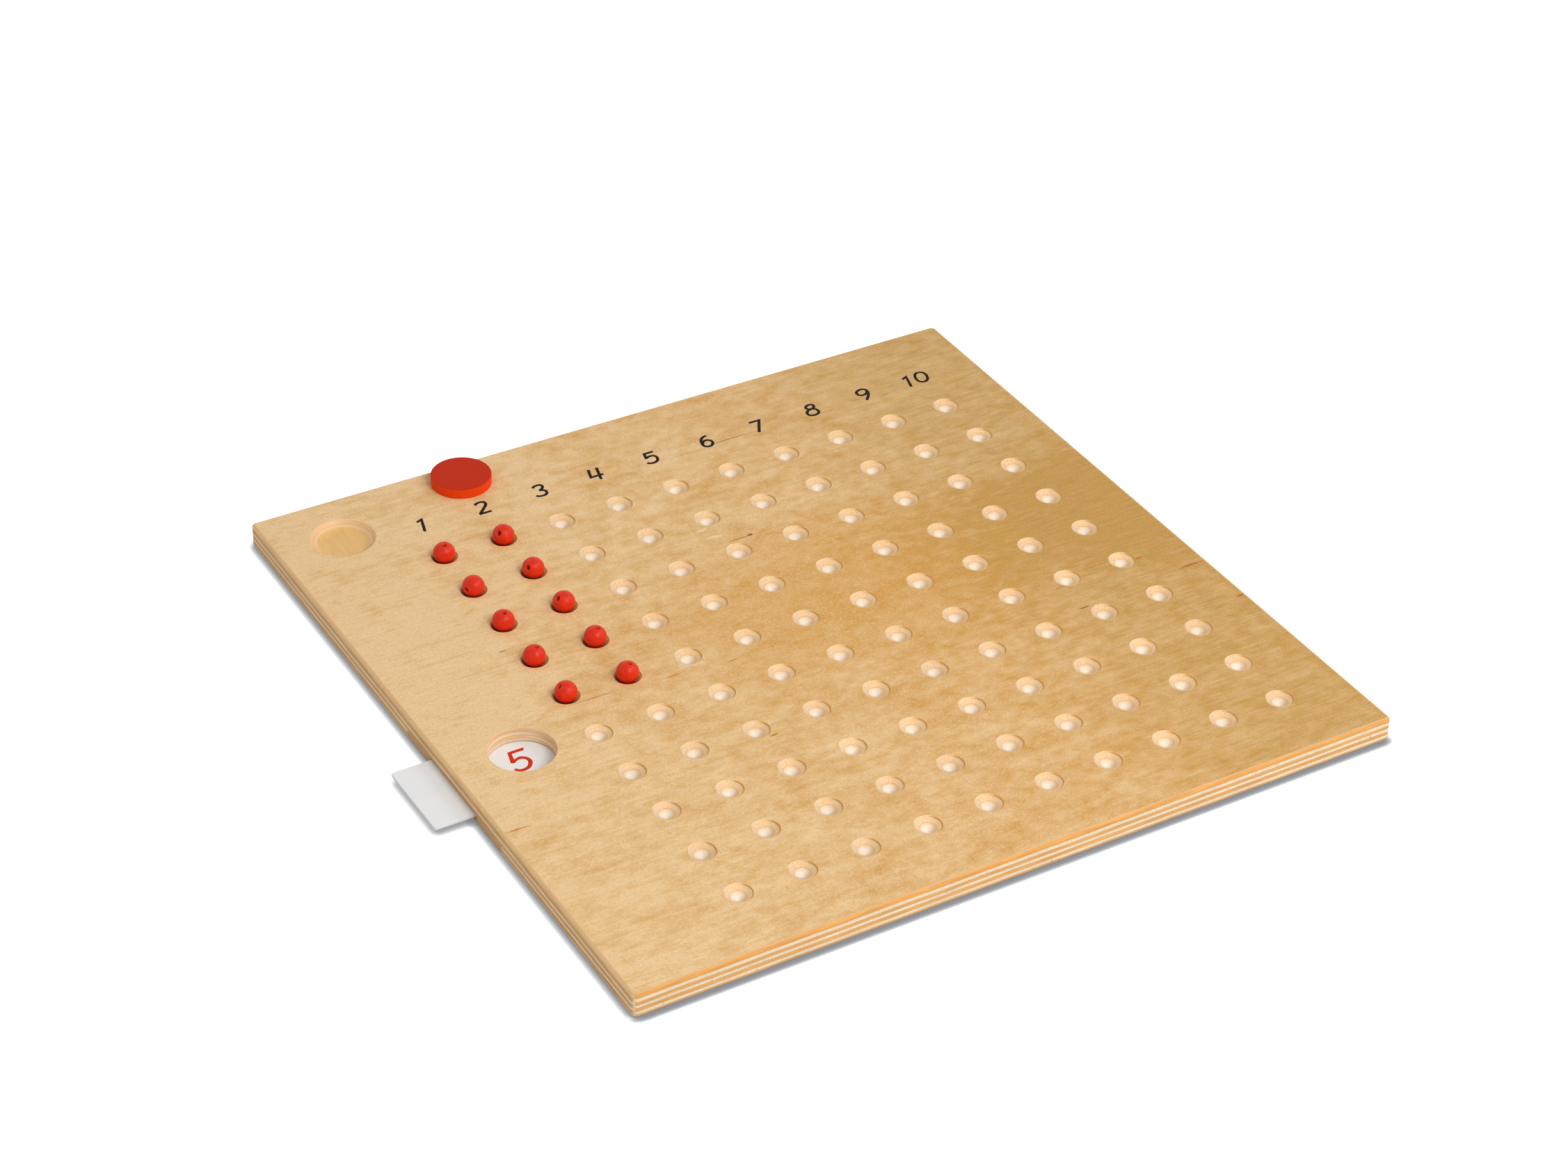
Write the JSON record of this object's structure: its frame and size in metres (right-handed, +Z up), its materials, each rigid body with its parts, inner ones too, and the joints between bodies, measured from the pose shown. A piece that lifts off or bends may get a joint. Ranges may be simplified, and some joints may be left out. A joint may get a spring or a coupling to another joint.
{
  "type": "multiplication bead board",
  "caption": "Square plywood board with a grid of drilled seats for beads, a window over a card slot and a round recess for a counter, with its beads, counter and number card.",
  "frame": {"origin": "centre of the board's underside", "axes": "+Z up through the board's thickness, +Y towards the numbered back edge, +X to the right, away from the card slot"},
  "size_m": [0.3153, 0.3, 0.0153],
  "materials": {
    "plywood": "satin lacquered birch plywood",
    "inlay_wood": "plain solid wood, lacquered",
    "card": "matt white card",
    "red_disc": "red lacquer on wood",
    "red_bead": "satin red lacquer on turned wood"
  },
  "bodies": {
    "root": {"board": "plywood", "slot_inlay": "inlay_wood", "number_card": "card", "counter_disc": "red_disc", "bead_c1_r1": "red_bead", "bead_c1_r2": "red_bead", "bead_c1_r3": "red_bead", "bead_c1_r4": "red_bead", "bead_c1_r5": "red_bead", "bead_c2_r1": "red_bead", "bead_c2_r2": "red_bead", "bead_c2_r3": "red_bead", "bead_c2_r4": "red_bead", "bead_c2_r5": "red_bead"}
  },
  "joints": []
}
